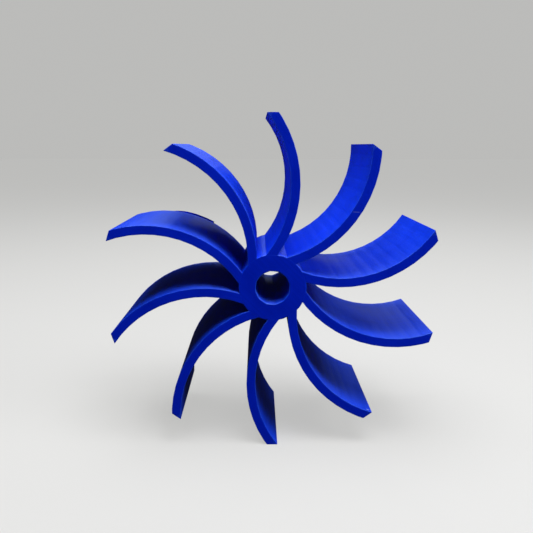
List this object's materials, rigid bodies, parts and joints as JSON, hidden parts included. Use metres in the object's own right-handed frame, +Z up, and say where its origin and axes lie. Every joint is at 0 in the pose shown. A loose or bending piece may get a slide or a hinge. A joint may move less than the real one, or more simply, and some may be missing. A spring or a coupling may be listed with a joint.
{
  "type": "vertical axis turbine rotor",
  "caption": "Round hub with a plain through bore and a ring of thin curved blades, all one length; it turns a shaft when air or water pushes the blades.",
  "frame": {"origin": "on the spin axis, halfway along the hub; also the centre of the whole rotor's box", "axes": "+Y along the spin axis; +Z up to the tip of blade_01, with the rotor standing on edge on the tip of blade_06; +X towards blade_03 and blade_04. In use +Y is the vertical axis."},
  "size_m": [0.1442, 0.06, 0.15],
  "materials": {
    "printed_plastic": "royal blue 3-D printed plastic, satin, with fine layer lines round the sides and close tool paths on the end faces"
  },
  "bodies": {
    "root": {"hub": "printed_plastic", "blade_01": "printed_plastic", "blade_02": "printed_plastic", "blade_03": "printed_plastic", "blade_04": "printed_plastic", "blade_05": "printed_plastic", "blade_06": "printed_plastic", "blade_07": "printed_plastic", "blade_08": "printed_plastic", "blade_09": "printed_plastic", "blade_10": "printed_plastic"}
  },
  "joints": []
}
